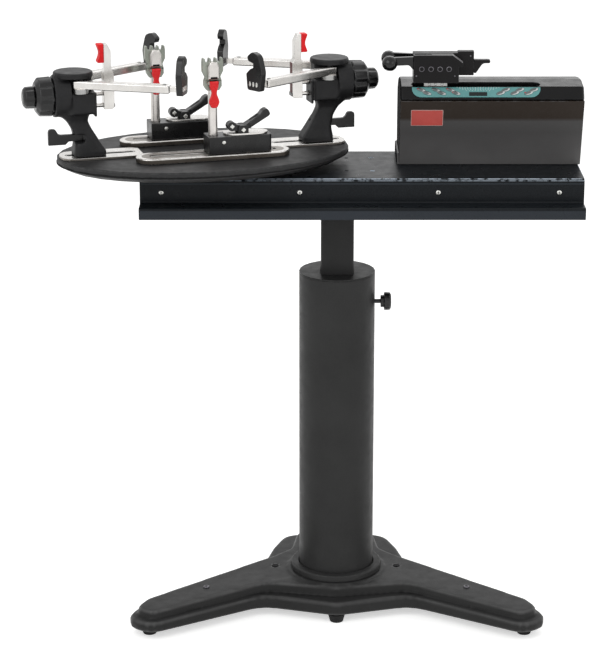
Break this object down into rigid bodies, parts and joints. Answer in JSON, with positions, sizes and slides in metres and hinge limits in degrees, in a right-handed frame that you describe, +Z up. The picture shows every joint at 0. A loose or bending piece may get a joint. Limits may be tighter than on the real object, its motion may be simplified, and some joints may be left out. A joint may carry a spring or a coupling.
{
  "type": "racket stringing machine",
  "caption": "Floor-standing racket stringing machine: cast base, height column, rail with a turntable of towers and string clamps, and a tension head with gripper.",
  "frame": {"origin": "on the floor under the middle of the machine's box at rest", "axes": "+Z up, +X along the rail towards the tension head, +Y away from the user"},
  "size_m": [0.9626, 0.417, 1.0469],
  "materials": {
    "stand_black": "charcoal powder coat, fine grain",
    "foot_rubber": "black rubber",
    "rail_black": "navy black paint, half gloss",
    "black_plastic": "black plastic, satin",
    "turntable_black": "black powder coat on a light casting",
    "tower_black": "matt black coat on cast aluminium",
    "silver_aluminium": "brushed and polished",
    "steel": "brushed steel",
    "red_plastic": "red, glossy",
    "red_rubber": "red rubber",
    "head_gloss": "black, high gloss",
    "panel_teal": "teal printed foil",
    "gripper_black": "black anodised, half matt"
  },
  "bodies": {
    "stand": {"base_casting": "stand_black", "foot_left": "foot_rubber", "foot_right": "foot_rubber", "foot_front": "foot_rubber", "foot_rear_left": "foot_rubber", "foot_rear_right": "foot_rubber", "column_ring": "stand_black", "column_tube": "stand_black", "column_cap": "stand_black"},
    "lock_knob": {"height_lock_knob": "black_plastic"},
    "bed": {"height_tube": "stand_black", "mounting_bracket": "stand_black", "base_rail": "rail_black", "turntable_bearing": "steel", "head_housing": "head_gloss", "head_cover": "head_gloss", "control_panel": "panel_teal"},
    "turntable": {"turntable_disc": "turntable_black", "slot_plate_right": "silver_aluminium", "slot_plate_left": "silver_aluminium", "clamp_track_front": "silver_aluminium", "clamp_track_rear": "silver_aluminium"},
    "left_tower": {"left_tower_body": "tower_black"},
    "left_arm_front": {"left_side_arm_front": "silver_aluminium", "left_hook_front": "black_plastic"},
    "left_arm_rear": {"left_side_arm_rear": "silver_aluminium", "left_hook_rear": "black_plastic"},
    "left_arm_knob_turn": {"left_arm_knob": "black_plastic"},
    "left_support_knob_turn": {"left_support_knob": "black_plastic"},
    "left_support_slide": {"left_support_bar": "silver_aluminium", "left_support_pad": "red_rubber"},
    "left_lock_lever_turn": {"left_lock_lever": "black_plastic"},
    "right_tower": {"right_tower_body": "tower_black"},
    "right_arm_front": {"right_side_arm_front": "silver_aluminium", "right_hook_front": "black_plastic"},
    "right_arm_rear": {"right_side_arm_rear": "silver_aluminium", "right_hook_rear": "black_plastic"},
    "right_arm_knob_turn": {"right_arm_knob": "black_plastic"},
    "right_support_knob_turn": {"right_support_knob": "black_plastic"},
    "right_support_slide": {"right_support_bar": "silver_aluminium", "right_support_pad": "red_rubber"},
    "right_lock_lever_turn": {"right_lock_lever": "black_plastic"},
    "front_clamp": {"front_clamp_base": "black_plastic", "front_clamp_base_plate": "silver_aluminium"},
    "front_base_lever": {"front_clamp_base_lever": "black_plastic"},
    "front_post": {"front_clamp_post": "steel"},
    "front_jaw": {"front_clamp_jaw": "steel"},
    "front_trigger": {"front_clamp_trigger": "red_plastic"},
    "rear_clamp": {"rear_clamp_base": "black_plastic", "rear_clamp_base_plate": "silver_aluminium"},
    "rear_base_lever": {"rear_clamp_base_lever": "black_plastic"},
    "rear_post": {"rear_clamp_post": "steel"},
    "rear_jaw": {"rear_clamp_jaw": "steel"},
    "rear_trigger": {"rear_clamp_trigger": "red_plastic"},
    "gripper": {"gripper_carriage": "silver_aluminium", "gripper_front_cheek": "gripper_black", "gripper_rear_cheek": "gripper_black", "gripper_tab": "gripper_black"},
    "ball_lever_turn_front": {"ball_lever_front": "black_plastic"},
    "ball_lever_turn_rear": {"ball_lever_rear": "black_plastic"}
  },
  "joints": [
    {"name": "height_slide", "type": "slide", "parent": "stand", "child": "bed", "axis": [0, 0, 1], "range_m": [-0.12, 0.15]},
    {"name": "lock_knob_turn", "type": "hinge", "parent": "stand", "child": "lock_knob", "pos_m": [0.0863, -0.01219, 0.5717], "axis": [1, 0, 0], "range_deg": [0, 540]},
    {"name": "turntable_spin", "type": "hinge", "parent": "bed", "child": "turntable", "pos_m": [-0.1757, -0.02719, 0.822], "axis": [0, 0, 1], "continuous": true},
    {"name": "left_tower_slide", "type": "slide", "parent": "turntable", "child": "left_tower", "axis": [-0.9613, -0.2756, 0], "range_m": [-0.02, 0.015]},
    {"name": "left_lock_lever_swing", "type": "hinge", "parent": "left_tower", "child": "left_lock_lever_turn", "pos_m": [-0.37083, -0.08314, 0.8569], "axis": [0, 0, 1], "range_deg": [0, 50]},
    {"name": "left_arm_knob_turn", "type": "hinge", "parent": "left_tower", "child": "left_arm_knob_turn", "pos_m": [-0.42851, -0.09968, 0.9609], "axis": [-0.9613, -0.2756, 0], "range_deg": [-20, 180]},
    {"name": "left_arm_front_swing", "type": "hinge", "parent": "left_tower", "child": "left_arm_front", "pos_m": [-0.3785, -0.11447, 0.8569], "axis": [0, 0, 1], "range_deg": [-9, 1]},
    {"name": "left_arm_rear_swing", "type": "hinge", "parent": "left_tower", "child": "left_arm_rear", "pos_m": [-0.39393, -0.06064, 0.8569], "axis": [0, 0, 1], "range_deg": [-1, 9]},
    {"name": "left_support_knob_turn", "type": "hinge", "parent": "left_tower", "child": "left_support_knob_turn", "pos_m": [-0.45831, -0.10822, 0.9609], "axis": [-0.9613, -0.2756, 0], "range_deg": [-720, 1080]},
    {"name": "left_support_travel", "type": "slide", "parent": "left_tower", "child": "left_support_slide", "axis": [-0.9613, -0.2756, 0], "range_m": [-0.006, 0.009]},
    {"name": "right_tower_slide", "type": "slide", "parent": "turntable", "child": "right_tower", "axis": [0.9613, 0.2756, 0], "range_m": [-0.02, 0.015]},
    {"name": "right_lock_lever_swing", "type": "hinge", "parent": "right_tower", "child": "right_lock_lever_turn", "pos_m": [0.01944, 0.02877, 0.8569], "axis": [0, 0, 1], "range_deg": [0, 50]},
    {"name": "right_arm_knob_turn", "type": "hinge", "parent": "right_tower", "child": "right_arm_knob_turn", "pos_m": [0.07712, 0.04531, 0.9609], "axis": [0.9613, 0.2756, 0], "range_deg": [-20, 180]},
    {"name": "right_arm_front_swing", "type": "hinge", "parent": "right_tower", "child": "right_arm_front", "pos_m": [0.04254, 0.00626, 0.8569], "axis": [0, 0, 1], "range_deg": [-1, 9]},
    {"name": "right_arm_rear_swing", "type": "hinge", "parent": "right_tower", "child": "right_arm_rear", "pos_m": [0.0271, 0.06009, 0.8569], "axis": [0, 0, 1], "range_deg": [-9, 1]},
    {"name": "right_support_knob_turn", "type": "hinge", "parent": "right_tower", "child": "right_support_knob_turn", "pos_m": [0.10691, 0.05385, 0.9609], "axis": [0.9613, 0.2756, 0], "range_deg": [-720, 1080]},
    {"name": "right_support_travel", "type": "slide", "parent": "right_tower", "child": "right_support_slide", "axis": [0.9613, 0.2756, 0], "range_m": [-0.006, 0.009]},
    {"name": "front_clamp_travel", "type": "slide", "parent": "turntable", "child": "front_clamp", "axis": [0.9613, 0.2756, 0], "range_m": [-0.06, 0.03]},
    {"name": "front_base_lever_press", "type": "hinge", "parent": "front_clamp", "child": "front_base_lever", "pos_m": [-0.10793, -0.07849, 0.9003], "axis": [-0.2756, 0.9613, 0], "range_deg": [0, 20]},
    {"name": "front_post_swivel", "type": "hinge", "parent": "front_clamp", "child": "front_post", "pos_m": [-0.15695, -0.09255, 0.8623], "axis": [0, 0, 1], "range_deg": [-40, 40]},
    {"name": "front_trigger_pull", "type": "hinge", "parent": "front_post", "child": "front_trigger", "pos_m": [-0.15384, -0.10341, 0.9846], "axis": [-0.9613, -0.2756, 0], "range_deg": [0, 35], "stiffness_Nm_per_rad": 0.3},
    {"name": "front_jaw_close", "type": "slide", "parent": "front_post", "child": "front_jaw", "axis": [-0.2756, 0.9613, 0], "range_m": [0, 0.0015]},
    {"name": "rear_clamp_travel", "type": "slide", "parent": "turntable", "child": "rear_clamp", "axis": [0.9613, 0.2756, 0], "range_m": [0, 0.1]},
    {"name": "rear_base_lever_press", "type": "hinge", "parent": "rear_clamp", "child": "rear_base_lever", "pos_m": [-0.2127, 0.03294, 0.9003], "axis": [-0.2756, 0.9613, 0], "range_deg": [0, 20]},
    {"name": "rear_post_swivel", "type": "hinge", "parent": "rear_clamp", "child": "rear_post", "pos_m": [-0.26173, 0.01888, 0.8623], "axis": [0, 0, 1], "range_deg": [-40, 40]},
    {"name": "rear_trigger_pull", "type": "hinge", "parent": "rear_post", "child": "rear_trigger", "pos_m": [-0.25861, 0.00802, 0.9846], "axis": [-0.9613, -0.2756, 0], "range_deg": [0, 35], "stiffness_Nm_per_rad": 0.3},
    {"name": "rear_jaw_close", "type": "slide", "parent": "rear_post", "child": "rear_jaw", "axis": [-0.2756, 0.9613, 0], "range_m": [0, 0.0015]},
    {"name": "gripper_travel", "type": "slide", "parent": "bed", "child": "gripper", "axis": [1, 0, 0], "range_m": [0, 0.15]},
    {"name": "ball_lever_front_squeeze", "type": "hinge", "parent": "gripper", "child": "ball_lever_turn_front", "pos_m": [0.2013, -0.03869, 1.01], "axis": [0, 0, 1], "range_deg": [-5, 0]},
    {"name": "ball_lever_rear_squeeze", "type": "hinge", "parent": "gripper", "child": "ball_lever_turn_rear", "pos_m": [0.2013, -0.01569, 1.01], "axis": [0, 0, 1], "range_deg": [0, 5]}
  ],
  "couplings": [
    {"joint": "left_arm_front_swing", "follows": "left_arm_knob_turn", "ratio": -0.05},
    {"joint": "left_arm_rear_swing", "follows": "left_arm_knob_turn", "ratio": 0.05},
    {"joint": "left_support_knob_turn", "follows": "left_support_travel", "rad_per_m": 2094.4},
    {"joint": "right_arm_front_swing", "follows": "right_arm_knob_turn", "ratio": 0.05},
    {"joint": "right_arm_rear_swing", "follows": "right_arm_knob_turn", "ratio": -0.05},
    {"joint": "right_support_knob_turn", "follows": "right_support_travel", "rad_per_m": 2094.4},
    {"joint": "front_trigger_pull", "follows": "front_jaw_close", "rad_per_m": 407.2},
    {"joint": "rear_trigger_pull", "follows": "rear_jaw_close", "rad_per_m": 407.2},
    {"joint": "ball_lever_rear_squeeze", "follows": "ball_lever_front_squeeze", "ratio": -1}
  ]
}
